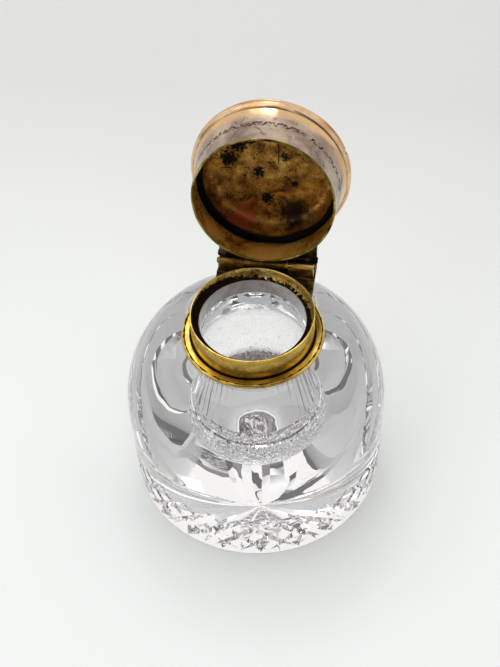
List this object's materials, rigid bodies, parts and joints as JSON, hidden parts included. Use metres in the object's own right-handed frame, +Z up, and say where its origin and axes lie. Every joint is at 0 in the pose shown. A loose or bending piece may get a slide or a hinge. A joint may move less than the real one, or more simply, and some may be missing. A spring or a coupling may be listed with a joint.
{
  "type": "inkwell",
  "caption": "Domed cut crystal inkwell with a round ink cavity, a gilt collar round the neck, and a deep metal lid that hinges open at the back.",
  "frame": {"origin": "middle of the flat face that the glass stands on, under the middle of the mouth", "axes": "+Z up along the axis of the mouth, +Y from the front towards the hinge, +X along the hinge"},
  "size_m": [0.0948, 0.1058, 0.1301],
  "materials": {
    "lead_crystal": "clear polished lead crystal, with wheel cut grooves round the foot and a star with short cuts between its rays underneath",
    "plaster": "pale cement, seen only through the glass of the neck",
    "gilt_brass": "bright gilt brass with fine turning lines and brown tarnish in its corners",
    "pitted_gilt": "gilding eaten through by ink into black pits, worst at the foot",
    "dark_bronze": "brass gone dark brown, rubbed bright on its edges",
    "knuckle_brass": "dark brass, rubbed bright where it turns",
    "pin_steel": "dull steel wire with peened ends",
    "worn_silver": "silver plate worn and toned grey to mauve, engraved with a running scroll",
    "rose_gilt": "polished pale rose gilt with small dents",
    "rim_gilt": "thin gilt edge, rubbed bright",
    "liner_gilt": "brown gold lining, dented and pitted by ink"
  },
  "bodies": {
    "base": {"glass_body": "lead_crystal", "plaster_ring": "plaster", "bezel_ring": "gilt_brass", "mouth_cove_ring": "pitted_gilt", "collar_flange": "gilt_brass", "collar_edge_wire": "gilt_brass", "collar_hinge_plate": "dark_bronze", "collar_reed_strip": "dark_bronze", "collar_stop_rail": "dark_bronze", "collar_knuckle_left": "knuckle_brass", "collar_knuckle_right": "knuckle_brass", "hinge_pin": "pin_steel"},
    "lid": {"lid_skirt": "worn_silver", "lid_rim_wire": "rim_gilt", "lid_bead": "rose_gilt", "lid_top": "rose_gilt", "lid_liner": "liner_gilt", "lid_hinge_plate": "dark_bronze", "lid_back_rail": "dark_bronze", "lid_knuckle": "knuckle_brass"}
  },
  "joints": [
    {"name": "lid_hinge", "type": "hinge", "parent": "base", "child": "lid", "pos_m": [0, 0.02845, 0.07638], "axis": [1, 0, 0], "range_deg": [0, 100]}
  ]
}
